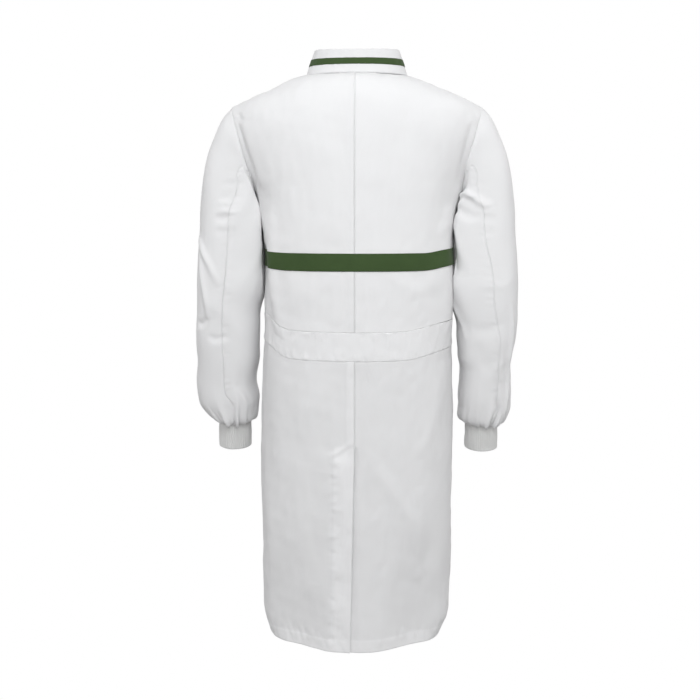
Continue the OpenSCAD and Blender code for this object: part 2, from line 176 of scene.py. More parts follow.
def half_w(z):
    below = eased(z, [(0, hem_half_w), (vent_z, hip_half_w), (waist_top_z, waist_half_w),
                      (tape_top_z, waist_half_w + 2), (underarm_z, underarm_half_w)])
    above = mix(underarm_half_w, tip_x + shoulder_over, (z - underarm_z) / (tip_z - underarm_z))
    return np.where(z > underarm_z, above, below)


def half_d(z, back):
    d = eased(z, [(0, hem_half_d), (waist_low_z, waist_half_d), (tape_top_z, chest_half_d),
                  (underarm_z, chest_half_d)])
    return d - (0 if back else front_less)


def ring_d(x, z, back):
    inside = np.clip(1 - np.minimum(1, x / half_w(z)) ** section_power, 0, 1)
    return half_d(z, back) * inside ** (1 / section_power)


def neck_z(x, back):
    level = np.minimum(1, np.abs(x) / neck_half_w) ** 2
    return np.full_like(level, neck_back_z) if back else mix(neck_front_z, neck_back_z, level)


def top_z(x, back):
    q = np.clip((x - neck_half_w) / (tip_x - neck_half_w), 0, 1)
    return np.where(x < neck_half_w, neck_z(x, back), mix(neck_back_z, tip_z, q ** shoulder_power))


def top_d(x, back):
    d = neck_back_d if back else neck_front_d
    return d * np.sqrt(np.clip(1 - (x / neck_half_w) ** 2, 0, 1))


def body_point(q, h, back):
    """The body's left half. q runs from the centre line (0) to the side seam or armhole (1), and a
    negative q is across the centre line; h is the height up to the underarm, and above it the length
    of cloth from the underarm level."""
    m = back_power if back else front_power
    across = np.where(q < 0, -1.0, 1.0)
    q = np.abs(q)
    turn = q * math.pi / 2
    z_low = np.minimum(h, underarm_z)
    low_x = half_w(z_low) * np.sin(turn) ** (2 / section_power)
    low_y = half_d(z_low, back) * np.clip(np.cos(turn), 0, 1) ** (2 / section_power)
    v = np.clip((h - underarm_z) / rise_len, 0, 1)
    x_top = np.where(q < 0.5, neck_half_w * np.sin(q * math.pi), mix(neck_half_w, tip_x, 2 * q - 1))
    rise = np.sin(v * math.pi / 2) ** (2 / m)
    fall = np.clip(np.cos(v * math.pi / 2), 0, 1) ** (2 / m)
    z_up = mix(underarm_z, top_z(x_top, back), rise)
    edge = mix(underarm_half_w, tip_x, np.minimum(1, (z_up - underarm_z) / (tip_z - underarm_z)))
    up_x = edge * mix(np.sin(turn) ** (2 / section_power), x_top / tip_x, v)
    up_y = mix(top_d(x_top, back), ring_d(up_x, z_up, back), fall)
    above = h > underarm_z
    y = np.where(above, up_y, low_y)
    return stack(across * np.where(above, up_x, low_x), y if back else -y, np.where(above, z_up, h))


def q_at(x, h):
    """q of the body's surface at a small distance x from the centre."""
    share = np.clip(x / half_w(np.minimum(h, underarm_z)), 0, 1)
    low = np.arcsin(share ** (section_power / 2)) / (math.pi / 2)
    high = np.arcsin(np.clip(x / neck_half_w, 0, 1)) / math.pi
    return mix(low, high, np.clip((h - underarm_z) / rise_len, 0, 1))


def pinch(z, left):
    """How far the body's side is drawn in, or let out, beside the hanging sleeve."""
    return np.where(left, 5 * bell(z - 715, 60) + 2.5 * bell(z - 585, 60), -4 * bell(z - 640, 70))


armhole_out = unit(np.array([tip_z - underarm_z, 0.0, underarm_half_w - tip_x]))


def sleeve_section(z):
    """Middle x, middle y and radius of the sleeve at height z."""
    x = eased(z, [(cuff_top_z, wrist_x), (elbow_z, elbow_x), (biceps_z, elbow_x)])
    y = eased(z, [(cuff_top_z, cuff_y), (elbow_z + 80, 2), (biceps_z, 4)])
    swell = np.clip((z - cuff_top_z) / blouse_h, 0, 1)
    r = mix(cuff_bore_r + knit_t + 1, sleeve_r, np.sqrt(np.clip(1 - (1 - swell) ** 2.4, 0, 1)))
    return x, y, r - 3 * ease((z - elbow_z) / (biceps_z - elbow_z))


def arm_point(turn, z, left):
    """The hanging sleeve. Its inner side leans on the body below the armpit, further down on the
    wearer's right than on the left, and keeps clear of it everywhere."""
    cx, cy, r = sleeve_section(z)
    rising = ease((z - cuff_top_z) / 34)
    if left:
        lean = 28 * ease((z - 604) / 105)
        outward = rising * eased(z, [(400, 12), (470, 14), (530, 7.5), (620, 1), (660, 0)])
        inward = rising * eased(z, [(414, -9), (431, -7.5), (473, -13.5), (530, -5), (600, 0)])
    else:
        lean = 21 * ease((z - 590) / 90)
        outward = rising * eased(z, [(415, 3), (445, -1), (485, -3.5), (515, -6.5), (575, -1.5), (610, 0)])
        inward = rising * eased(z, [(405, -6), (430, -10), (500, -13), (530, -8), (575, -4), (620, 0)])
    flank, back = np.cos(turn), np.sin(turn)
    flat = 2 / mix(2.0, 2.6, rising)
    outer, inner = ease(1.4 * flank + 0.3), ease(0.3 - 1.4 * flank)
    x = cx + r * np.sign(flank) * np.abs(flank) ** flat + outward * outer - inward * inner
    x = x - lean * ease(-1.5 * flank)
    y = cy + 1.04 * r * np.sign(back) * np.abs(back) ** flat
    beside = np.clip(1 - (np.abs(y) / half_d(z, True)) ** section_power, 0, 1) ** (1 / section_power)
    return stack(np.maximum(x, (half_w(z) - pinch(z, left)) * beside + 1.8), y, z)


def rim_point(turn):
    """The armhole: turn 0 is the shoulder tip, a quarter turn the back, half a turn the underarm."""
    a = np.where(turn > math.pi, 2 * math.pi - turn, turn) / math.pi
    h = underarm_z + (1 - a) * rise_len
    edge = np.ones_like(h)
    ring = np.where((turn < math.pi)[..., None], body_point(edge, h, True), body_point(edge, h, False))
    return ring + 0.8 * armhole_out


def sleeve_point(turn, v, left):
    """A sleeve, drawn on the left side: v 0 is the cuff's seam and 1 the armhole."""
    turn = np.mod(turn, 2 * math.pi)
    low = arm_point(turn, mix(cuff_top_z, biceps_z, np.minimum(v / sleeve_split, 1)), left)
    t = np.clip((v - sleeve_split) / (1 - sleeve_split), 0, 1)[..., None]
    start = arm_point(turn, np.full_like(turn, biceps_z), left)
    end = rim_point(turn)
    high = ((1 + np.cos(turn)) / 2)[..., None]
    span = np.linalg.norm(end - start, axis=-1, keepdims=True)
    up = np.array([0, 0, 1.0])
    into = 0.8 * span * unit(-mix(0.1, 0.9, high) * armhole_out + mix(1, 0.55, high) * up)
    curve = ((1 + 2 * t) * (1 - t) ** 2 * start + t * (1 - t) ** 2 * 0.95 * span * up
             + t * t * (3 - 2 * t) * end + t * t * (t - 1) * into)
    return np.where((v > sleeve_split)[..., None], curve, low)


# ---------- relief: folds, puckers and soft unevenness ----------

def waves(seed, length, squash=(1, 1, 1), count=28):
    """Smooth noise of about -1 to 1 with features of the given length, drawn out along an axis."""
    rng = np.random.default_rng(seed)
    direction = unit(rng.normal(size=(count, 3))) * rng.uniform(0.6, 1.5, size=(count, 1))
    k = 2 * math.pi / length * direction * np.array(squash)
    phase = rng.uniform(0, 2 * math.pi, size=count)

    def field(p):
        return np.sin(p @ k.T + phase).sum(axis=-1) / math.sqrt(count)

    return field


soft = waves(1, 150, (1, 1, 0.6))
softer = waves(2, 62, (1, 1, 0.7))
small = waves(3, 24, (1, 1, 0.8))
ripple = waves(4, 11, (1, 1, 1))


def uneven(p):
    """The soft, blotchy unevenness of pressed cotton."""
    return 0.9 * soft(p) + 0.68 * softer(p) + 0.3 * small(p)


def crease(a, b, path, width, height, roll=0.0):
    """A fold along a path of (a, b) points: a ridge of the given height, fading at both ends, and
    with roll a valley beside it. a and b are the surface's two coordinates."""
    total = np.zeros_like(a)
    steps = len(path) - 1
    nearest = np.full_like(a, 1e9)
    for i in range(steps):
        (a0, b0), (a1, b1) = path[i], path[i + 1]
        da, db = a1 - a0, b1 - b0
        length = math.hypot(da, db)
        t = np.clip(((a - a0) * da + (b - b0) * db) / length ** 2, 0, 1)
        off_a, off_b = a - a0 - t * da, b - b0 - t * db
        d = np.hypot(off_a, off_b)
        side = np.sign(off_a * db - off_b * da)
        along = (i + t) / steps
        fade = np.sin(np.clip(along, 0.001, 0.999) * math.pi) ** 0.6
        shape = bell(d, width) + roll * side * (d / width) * bell(d, width) * 1.4
        closer = d < nearest
        total = np.where(closer, height * fade * shape, total)
        nearest = np.minimum(nearest, d)
    return total


def creases(a, b, folds):
    """All the folds of a table: rows of (path, width, height), and a roll where the fold has one."""
    return sum(crease(a, b, *fold) for fold in folds)


def body_folds(p):
    """Folds of the back and the front: the armholes, the armpits, and a soft corner down each side."""
    x, y, z = p[..., 0], p[..., 1], p[..., 2]
    a = np.abs(x)
    behind = ease((y + 20) / 40)
    on_left = creases(a, z, [
        ([(231, 994), (222, 962), (209, 925), (198, 895), (190, 850)], 6.0, -4.8, 0.3),
        ([(209, 985), (195, 910), (175, 850)], 12, 2.2),
        ([(226, 1004), (222, 992), (214, 986)], 5, -3.0),
        ([(166, 830), (160, 760), (158, 690), (152, 630), (146, 570)], 13, 8.5),
        ([(178, 752), (175, 710), (173, 670), (168, 610)], 8, -5.5),
        ([(30, 700), (75, 660), (140, 650)], 22, 1.5),
        ([(60, 500), (95, 440), (100, 350)], 20, 1.8, 0.4),
        ([(70, 330), (84, 230), (76, 120)], 17, -2.0, 0.3),
        ([(172, 330), (164, 200), (168, 90)], 12, 2.4, 0.4),
        ([(150, 560), (158, 470), (150, 380)], 16, 2.2, 0.4),
    ])
    on_right = creases(a, z, [
        ([(224, 985), (212, 935), (202, 895), (192, 850)], 6, -3.2, 0.4),
        ([(204, 880), (190, 835), (172, 800)], 10, 1.5),
        ([(172, 820), (174, 740), (172, 650), (168, 560)], 13, 5.0),
        ([(172, 520), (158, 440), (128, 350)], 15, 3.0, 0.5),
        ([(8, 388), (60, 318), (112, 240), (130, 170)], 15, 2.2, 0.5),
        ([(120, 300), (128, 220), (118, 120)], 13, 2.2, 0.5),
        ([(40, 240), (52, 160), (44, 70)], 15, -1.8, 0.3),
        ([(70, 690), (120, 670), (160, 690)], 15, 1.8, 0.5),
    ])
    both = crease(a, z, [(190, 838), (178, 790), (160, 760)], 9, 1.8, 0.6)
    before = creases(a, z, [
        ([(196, 880), (170, 840), (130, 815)], 10, 2.0, 0.5),
        ([(190, 850), (172, 800), (150, 770)], 8, 1.6, 0.4),
    ])
    return behind * (both + np.where(x > 0, on_left, on_right)) + (1 - behind) * before


def armpit(p, left):
    """The cloth at the wearer's right armpit sits a little further out than at the left one."""
    x, z = p[..., 0], p[..., 2]
    out = np.where(left, 0, 9) * bell(np.abs(x) - 206, 20) * bell(z - 850, 42)
    return stack(x + np.sign(x) * out, p[..., 1], z)


def hung(p):
    """The coat as it hangs: the waist seams and the tape climb to the side seams and sag between
    them, the skirt's back comes to a soft ridge in the middle, and the hem tucks in at its corners."""
    x, y, z = p[..., 0], p[..., 1], p[..., 2]
    a, left, behind = np.abs(x), x > 0, ease((y + 90) / 110)
    waist_climb = np.where(left, 26 * ease((a - 122) / 62), 15 * ease((a - 88) / 98)) * bell(z - 565, 75)
    tape_climb = np.where(left, 4, 8) * ease((a - 128) / 55) * bell(z - 720, 45)
    sag = 5 * np.clip(1 - (a / 187) ** 2, 0, 1) * bell(z - 578, 70) * ease(y / 60)
    ridge = np.where(left, 19, 26) * ease((280 - z) / 280) * bell(a - 112, 52) * ease(y / 30)
    drop = 6 * bell(a - 168, 42) * ease((z - 960) / 70)
    narrowed = pinch(z, left) * ease((a - 130) / 50)
    tuck = np.where(left, 15, 21) * ease((a - 110) / 70) * ease((50 - z) / 62) ** 1.4
    lowered = z + behind * (waist_climb + tape_climb) - sag - drop
    return armpit(stack(x - np.sign(x) * (tuck + narrowed), y - ridge, lowered), left)


def sleeve_folds(p, turn, left):
    """Folds of a sleeve in degrees round it and height: the elbow, the underarm and the cuff."""
    a, z = np.degrees(np.mod(turn, 2 * math.pi)), p[..., 2]
    round_mm = sleeve_r * np.radians(a)
    d = np.zeros_like(z)
    if left:
        paths = [([(22, 768), (40, 748), (67, 712), (88, 670)], 7, 4.8, 0.5),
                 ([(30, 740), (44, 690), (60, 632), (64, 604)], 7, 4.4, -0.6),
                 ([(142, 880), (122, 845), (104, 800), (96, 765)], 9, 3.0, 0.7),
                 ([(34, 596), (48, 594), (64, 606)], 7, -5.2),
                 ([(68, 574), (79, 566), (94, 572)], 6, -3.0),
                 ([(112, 470), (128, 440), (140, 415)], 8, 3.0, 0.6),
                 ([(60, 655), (95, 610), (125, 560)], 12, 1.7, 0.3),
                 ([(168, 830), (156, 760), (146, 680)], 18, -5.0),
                 ([(150, 760), (120, 700), (100, 640)], 10, 1.8, 0.4)]
    else:
        paths = [([(172, 812), (140, 775), (112, 690)], 10, 3.6, 0.6),
                 ([(158, 834), (132, 846), (112, 838), (92, 818)], 6.5, 6.0, 0.9),
                 ([(160, 812), (132, 815), (104, 795)], 9, -4.5, 0.4),
                 ([(168, 770), (150, 730), (128, 690)], 8, -2.6, 0.4),
                 ([(160, 822), (150, 760), (140, 690)], 20, -7.0),
                 ([(20, 402), (40, 374), (64, 352)], 6, -5.0, 0.8),
                 ([(50, 640), (48, 560), (42, 480), (46, 415)], 7, 4.2, 0.9),
                 ([(78, 470), (70, 430), (52, 405)], 8, -3.0, 0.6),
                 ([(176, 670), (158, 615), (138, 560)], 8, 3.0, 0.8),
                 ([(110, 560), (96, 520), (80, 500)], 12, -2.0, 0.2),
                 ([(40, 690), (70, 670), (100, 676)], 9, 1.6, 0.2),
                 ([(60, 610), (90, 585), (120, 590)], 12, -1.8),
                 ([(30, 560), (60, 520), (85, 500)], 11, 1.5, 0.3)]
    paths += [([(200, 690), (240, 640), (280, 650)], 9, -3.0, 0.3),
              ([(210, 640), (250, 600), (300, 590)], 8, 2.6, 0.5),
              ([(190, 800), (235, 790), (275, 830)], 9, 2.4, 0.5)]
    d += creases(round_mm, z, [([(sleeve_r * math.radians(deg), up) for deg, up in path], *shape)
                               for path, *shape in paths])
    height = z - cuff_top_z
    pleat = np.sin(15 * np.radians(a) + 1.3 * np.sin(np.radians(3 * a)) + 0.012 * height)
    fine = np.sin(31 * np.radians(a) + 2.0)
    beside_seam = 0.4 + 1.9 * bell(a - (96 if left else 66), 26)
    gathers = bell(height - 4, 22) * (1.9 * pleat + 1.3 * fine) + 0.7 * bell(height - 26, 26) * pleat
    d += beside_seam * gathers
    seam_row = eased((z - cuff_top_z) / (biceps_z - cuff_top_z) * sleeve_split,
                     left_back_seam if left else right_back_seam)
    gather = waves(95, 20)(stack(z, 0.2 * round_mm, 0 * z))
    d += (1.8 if left else 0.7) * gather * bell(a - seam_row + 4, 9) * bell(z - 828, 48)
    d += 1.6 * soft(p * 1.4 + 40) + 0.6 * softer(p + 90)
    return d


def softened(grid, times=90):
    """A grid with the creases between its parts smoothed out, its own edges left where they are."""
    grid = grid.copy()
    for _ in range(times):
        inner = grid[1:-1, 1:-1]
        around = grid[:-2, 1:-1] + grid[2:, 1:-1] + grid[1:-1, :-2] + grid[1:-1, 2:]
        grid[1:-1, 1:-1] = (4 * inner + around) / 8
    return grid


# ---------- edges: what the cloth does beside each seam, hem and fold ----------

def edge_style(stitches=(), groove=0.0, pucker=0.0, reach=1, turn=0):
    """How the cloth runs up to an edge: its stitch lines' distances, the depth of the seam's groove,
    its puckers and how far they reach, and the depth of a turned-up hem."""
    return {"stitches": stitches, "groove": groove, "pucker": pucker, "reach": reach, "turn": turn}


PLAIN_SEAM = edge_style(groove=0.4, pucker=0.22, reach=7)
CENTRE_SEAM = edge_style(groove=0.05, pucker=0.15, reach=7)
TOP_SEAM = edge_style((2.0,), groove=0.75, pucker=0.45, reach=10)
BAND_EDGE = edge_style((2.2,), groove=0.3, pucker=0.55, reach=12)
TAPE_EDGE = edge_style((1.6,), groove=0.15, pucker=0.18, reach=6)
HEM = edge_style((hem_turn - 2,), pucker=0.65, reach=13, turn=hem_turn)
PLACKET_EDGE = edge_style((2.0,), pucker=0.25, reach=8)
POCKET_EDGE = edge_style((5.0,), pucker=0.3, reach=8)
LABEL_EDGE = edge_style((1.6,), pucker=0.1, reach=3)
BARE = edge_style()


def run_lengths(grid, axis):
    """Length of cloth from the first row (or column) to each point, and from each point to the last."""
    step = np.linalg.norm(np.diff(grid, axis=axis), axis=-1)
    zero = np.zeros_like(np.take(step, [0], axis=axis))
    first = np.concatenate([zero, np.cumsum(step, axis=axis)], axis=axis)
    return first, np.take(first, [-1], axis=axis) - first


def edge_relief(distance, along, style, seed):
    """Displacement beside one edge: the seam's groove, its stitch line, its puckers and the hem's step."""
    gather = waves(seed, 13)
    wander = gather(np.stack([along, along * 0.3, distance * 0.35], axis=-1))
    d = -style["groove"] * bell(distance, 1.7)
    for s in style["stitches"]:
        d = d - 0.3 * bell(distance - s, 1.3)
    where = style["stitches"][-1] if style["stitches"] else 0
    pucker = style["pucker"] * wander * bell(np.maximum(0, np.abs(distance - where) - 2), style["reach"])
    d = d + pucker * ease(distance / 3)
    if style["turn"]:
        d = d + 0.55 * ease((style["turn"] - distance) / 2.5 + 0.5)
    return d


def grid_normals(grid):
    return unit(np.cross(np.gradient(grid, axis=1), np.gradient(grid, axis=0)))


def stations(length, step=grain):
    """Parameters from 0 to 1, closer together beside both ends, where the seams are."""
    close = np.array([0, 0.8, 1.6, 2.6, 4.0])
    if length < 20:
        return np.linspace(0, 1, max(5, int(length / 1.6)))
    middle = np.linspace(4.0, length - 4.0, max(3, int((length - 8) / step)))[1:-1]
    return np.concatenate([close, middle, length - close[::-1]]) / length


# ---------- meshes ----------

def add_mesh(name, verts, faces, material, uvs=None):
    """A smooth-shaded mesh object from points in millimetres. uvs has one pair for each vertex."""
    mesh = bpy.data.meshes.new(name)
    mesh.from_pydata((np.asarray(verts) * MM).tolist(), [], faces)
    mesh.polygons.foreach_set("use_smooth", np.ones(len(mesh.polygons), bool))
    if uvs is not None:
        corner = np.empty(len(mesh.loops), np.int32)
        mesh.loops.foreach_get("vertex_index", corner)
        layer_uv = mesh.uv_layers.new(name="cloth")
        layer_uv.data.foreach_set("uv", np.asarray(uvs, float)[corner].ravel())
    mesh.materials.append(material)
    mesh.validate()
    obj = bpy.data.objects.new(name, mesh)
    bpy.context.scene.collection.objects.link(obj)
    return obj


def shell(name, grid, thickness, material, closed=False, thin=None):
    """A sheet of cloth with thickness from a grid of points, rows upward and columns rightward as seen
    from outside. closed joins the last column to the first. The mask given last (1 where the cloth is a
    single layer) says where its colour is darkened with painted shade, for the shaded inside showing through."""
    rows, cols = grid.shape[:2]
    if closed:
        wide = np.concatenate([grid[:, -1:], grid, grid[:, :1]], axis=1)
        normals = grid_normals(wide)[:, 1:-1]
    else:
        normals = grid_normals(grid)
    count = rows * cols
    verts = np.concatenate([(grid + normals * thickness / 2).reshape(-1, 3),
                            (grid - normals * thickness / 2).reshape(-1, 3)])
    across, up = run_lengths(grid, 1)[0], run_lengths(grid, 0)[0]
    uv = np.stack([across, up], axis=-1).reshape(-1, 2)
    index = np.arange(count).reshape(rows, cols)
    right = np.roll(index, -1, axis=1)
    if not closed:
        index, right = index[:, :-1], right[:, :-1]
    quads = np.stack([index[:-1], right[:-1], right[1:], index[1:]], axis=-1).reshape(-1, 4)
    faces = quads.tolist() + (quads[:, ::-1] + count).tolist()
    full = np.arange(count).reshape(rows, cols)
    loops = [list(full[0]), list(full[-1][::-1])]
    if closed:
        rims = [loop + [loop[0]] for loop in loops]
    else:
        rims = [loops[0] + list(full[1:, -1]) + loops[1][1:] + list(full[1:-1, 0][::-1]) + [full[0, 0]]]
    for rim in rims:
        faces += [[b, a, a + count, b + count] for a, b in zip(rim, rim[1:])]
    obj = add_mesh(name, verts, [[int(i) for i in f] for f in faces], material, np.concatenate([uv, uv]))
    # The mask that says where painted shade darkens the cloth's colour.
    if thin is not None:
        attribute = obj.data.attributes.new("thin", "FLOAT", "POINT")
        attribute.data.foreach_set("value", np.tile(thin.ravel(), 2))
    return obj


def line_beside(grid, side, distance):
    """The line on a grid that runs the given distance from one of its edges, and its normals."""
    normals = grid_normals(grid)
    turned = {"low": (grid, normals), "high": (grid[::-1], normals[::-1]),
              "start": (grid.swapaxes(0, 1), normals.swapaxes(0, 1)),
              "end": (grid[:, ::-1].swapaxes(0, 1), normals[:, ::-1].swapaxes(0, 1))}[side]
    points, square = turned
    run = run_lengths(points, 0)[0]
    pick = lambda data: np.array([[np.interp(distance, run[:, j], data[:, j, k]) for k in range(3)]
                                  for j in range(points.shape[1])])
    return pick(points), unit(pick(square))


def stitch_row(points, normals, inset=0):
    """Stitches along a line on the cloth: the points and faces of small spindles."""
    run = np.concatenate([[0], np.cumsum(np.linalg.norm(np.diff(points, axis=0), axis=1))])
    at = np.arange(inset + stitch_pitch / 2, run[-1] - inset, stitch_pitch)
    sample = lambda data, s: np.stack([np.interp(s, run, data[:, k]) for k in range(3)], axis=-1)
    up = unit(sample(normals, at))
    tail = sample(points, at - stitch_len / 2) + up * (cloth_t / 2)
    head = sample(points, at + stitch_len / 2) + up * (cloth_t / 2)
    side = unit(np.cross(head - tail, up))
    middle = (tail + head) / 2 + up * 0.12
    ring = [middle + stitch_r * way for way in (side, up, -side, -up)]
    verts = np.stack([tail, head] + ring, axis=1).reshape(-1, 3)
    spindle = [(0, 2, 3), (0, 3, 4), (0, 4, 5), (0, 5, 2), (1, 3, 2), (1, 4, 3), (1, 5, 4), (1, 2, 5)]
    faces = [[6 * i + k for k in f] for i in range(len(at)) for f in spindle]
    return verts, faces


class Sewing:
    """Collects the stitches of every piece on the same body."""

    def __init__(self):
        self.verts, self.faces, self.count = [], [], 0

    def add(self, points, normals, inset=0):
        verts, faces = stitch_row(points, normals, inset)
        self.faces += [[k + self.count for k in f] for f in faces]
        self.verts.append(verts)
        self.count += len(verts)

    def finish(self, name, material):
        return add_mesh(name, np.concatenate(self.verts), self.faces, material)


def sew(grid, edges, thread):
    for side, style in edges.items():
        for distance in style["stitches"]:
            points, normals = line_beside(grid, side, distance)
            thread.add(points, normals, inset=1.5)


def relieved(base, edges, seed, extra, lift=0.0):
    """The base grid moved along its normals by its folds and by what happens beside its edges."""
    across, across_back = run_lengths(base, 1)
    up, up_back = run_lengths(base, 0)
    distance = {"start": across, "end": across_back, "low": up, "high": up_back}
    along = {"start": up, "end": up, "low": across, "high": across}
    d = extra + lift
    for k, (side, style) in enumerate(edges.items()):
        d = d + edge_relief(distance[side], along[side], style, seed * 10 + k)
    return base + grid_normals(base) * d[..., None]


# ---------- materials ----------

def set_inputs(node, inputs):
    """Links a node's inputs to other nodes' sockets, or gives them plain values."""
    for key, value in dict(inputs).items():
        if isinstance(value, bpy.types.NodeSocket):
            node.id_data.links.new(value, node.inputs[key])
        else:
            node.inputs[key].default_value = value
    return node


def node_adder(tree):
    """A function that adds a node of a kind to the tree, with its inputs and its settings."""
    def add(kind, inputs=(), **settings):
        node = tree.nodes.new(kind)
        for key, value in settings.items():
            setattr(node, key, value)
        return set_inputs(node, inputs)

    return add


def node_kit(name):
    """A new material, its surface node, and a function that adds nodes to it."""
    material = bpy.data.materials.new(name)
    material.use_nodes = True
    return material, material.node_tree.nodes["Principled BSDF"], node_adder(material.node_tree)


def woven(name, colour, shade, thread_mm, sheen, ribbed=False):
    """Woven cloth: a thread pattern in the cloth's own millimetres, a slubby unevenness, faint
    differences of colour and a soft sheen. ribbed makes the cross ribs of a tape."""
    material, surface, add = node_kit(name)

    def calc(operation, a, b=0.0):
        return add("ShaderNodeMath", {0: a, 1: b}, operation=operation).outputs[0]

    uv = add("ShaderNodeUVMap", uv_map="cloth").outputs[0]
    parts = add("ShaderNodeSeparateXYZ", {0: uv})
    place = add("ShaderNodeNewGeometry").outputs["Position"]
    cloud = add("ShaderNodeTexNoise", {"Vector": place, "Scale": 9.0, "Detail": 3.0})
    fleck = add("ShaderNodeTexNoise", {"Vector": place, "Scale": 420.0, "Detail": 2.0})
    slub = add("ShaderNodeTexNoise", {"Vector": place, "Scale": 75.0, "Detail": 4.0, "Roughness": 0.6})
    turn = 2 * math.pi / thread_mm
    warp = calc("SINE", calc("MULTIPLY", parts.outputs[0], turn))
    weft = calc("SINE", calc("MULTIPLY", parts.outputs[1], turn))
    weave = weft if ribbed else calc("MULTIPLY", warp, weft)
    height = calc("ADD", calc("MULTIPLY", weave, 0.35 if ribbed else 0.16),
                  calc("MULTIPLY", slub.outputs["Fac"], 1.1))
    height = calc("ADD", height, calc("MULTIPLY", fleck.outputs["Fac"], 0.5))
    bump = add("ShaderNodeBump", {"Height": height, "Strength": 0.55, "Distance": 0.0004})
    tone = calc("ADD", calc("MULTIPLY", cloud.outputs["Fac"], 0.7),
                calc("MULTIPLY", fleck.outputs["Fac"], 0.3))
    blend = add("ShaderNodeMix", {"Factor": tone, "A": (*shade, 1), "B": (*colour, 1)}, data_type="RGBA")
    # Painted shade: the colour is darkened where the mesh's single-layer mask is set, standing in for the
    # shaded inside of the coat showing through.
    thin = add("ShaderNodeAttribute", attribute_name="thin").outputs["Fac"]
    light = calc("SUBTRACT", 1.0, calc("MULTIPLY", thin, thin_shade))
    dimmed = add("ShaderNodeVectorMath", {0: blend.outputs["Result"], "Scale": light}, operation="SCALE")
    set_inputs(surface, {"Base Color": dimmed.outputs[0], "Normal": bump.outputs[0], "Roughness": 0.88,
                         "Specular IOR Level": 0.25, "Sheen Weight": sheen, "Sheen Roughness": 0.5})
    return material


def metal(name):
    """Satin nickel with a fine brushed unevenness and darker worn patches."""
    material, surface, add = node_kit(name)
    place = add("ShaderNodeNewGeometry").outputs["Position"]
    wear = add("ShaderNodeTexNoise", {"Vector": place, "Scale": 260.0, "Detail": 4.0})
    rough = add("ShaderNodeMapRange", {"Value": wear.outputs["Fac"], "To Min": 0.22, "To Max": 0.42})
    blend = add("ShaderNodeMix", {"Factor": wear.outputs["Fac"], "A": (0.52, 0.52, 0.53, 1),
                                  "B": (0.74, 0.74, 0.75, 1)}, data_type="RGBA")
    set_inputs(surface, {"Base Color": blend.outputs["Result"], "Roughness": rough.outputs[0],
                         "Metallic": 1.0})
    return material


cotton = woven("white_cotton", (0.815, 0.812, 0.815), (0.755, 0.752, 0.755), 0.9, 0.10)
# Painted shade: the collar's cotton is a darker copy of the body's white cotton, offsetting the stronger
# light the collar catches near the key.
collar_cotton_shaded = woven("white_cotton_collar_shaded", (0.762, 0.760, 0.764), (0.706, 0.704, 0.708), 0.9, 0.08)
lining = woven("white_cotton_inside", (0.77, 0.775, 0.78), (0.70, 0.705, 0.71), 0.9, 0.08)
knit_yarn = woven("white_knit", (0.72, 0.72, 0.71), (0.59, 0.59, 0.58), 1.3, 0.2)
tape_green = woven("green_tape", (0.058, 0.100, 0.033), (0.030, 0.057, 0.017), 1.6, 0.08, ribbed=True)
thread_white = woven("white_thread", (0.82, 0.83, 0.84), (0.72, 0.72, 0.73), 0.5, 0.05)
thread_green = woven("green_thread", (0.060, 0.105, 0.036), (0.04, 0.07, 0.024), 0.5, 0.05)
nickel = metal("satin_nickel")


# ---------- pieces ----------

white_threads = {body: Sewing() for body in frame["bodies"]}
green_threads = {body: Sewing() for body in frame["bodies"]}

# Where each moving body's cloth would start to bend away from the coat, and where it would fully follow; only
# the names are read.
fold_foot = np.array([22.0, 0, 1034])
fold_across = unit(np.array([-1034.0, 0, -128]))
vent_foot = np.array([2.0, 0, vent_z + 5])
vent_across = unit(np.array([-(vent_z + 5), 0, -(vent_w + 26.0)]))
lap_across = unit(np.array([vent_z + 5, 0, -30.0]))
underarm_point = rim_point(np.array([math.pi]))[0]
arm_across = unit(np.array([0.7, 0, -0.71]))
mirror = np.array([-1.0, 1, 1])
bends = {
    "left_front": (fold_foot, fold_foot + 70 * fold_across),
    "right_front": (fold_foot * mirror, (fold_foot + 70 * fold_across) * mirror),
    "vent_left_edge": (vent_foot, vent_foot + 36 * vent_across),
    "vent_right_edge": (np.array([-4.0, 0, vent_z]), np.array([-4.0, 0, vent_z]) + 26 * lap_across),
    "left_sleeve": (underarm_point, underarm_point + 95 * arm_across),
    "right_sleeve": (underarm_point * mirror, (underarm_point + 95 * arm_across) * mirror),
}


def settle(obj, nodes, body):
    """Hides the CAD nodes a piece stands for and gives the piece its place. A piece of a moving body
    keeps its place with its transform baked in and is not attached; on the coat itself it rides."""
    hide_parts(*nodes)
    if body in bends:
        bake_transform(obj)
    else:
        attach(obj, body)
    return obj


def body_grid(back, left, h0, h1, start, end):
    """A grid over one half of the body from height h0 to h1, between two lines start(h) and end(h)
    given as q, the first nearer the centre. Its columns run rightward as seen from outside."""
    rows = mix(h0, h1, stations(h1 - h0))
    cols = stations(half_girth * abs(float(end(rows[:1])[0] - start(rows[:1])[0])))
    h, u = np.meshgrid(rows, cols, indexing="ij")
    grid = body_point(mix(start(h), end(h), u), h, back)
    if not left:
        grid = grid * mirror
    return grid[:, ::-1] if back == left else grid


def named_edges(back, left, inner, outer, low, high):
    """Styles of a half panel's edges, under the names of its grid's own sides."""
    flip = back == left
    return {"start": outer if flip else inner, "end": inner if flip else outer, "low": low, "high": high}


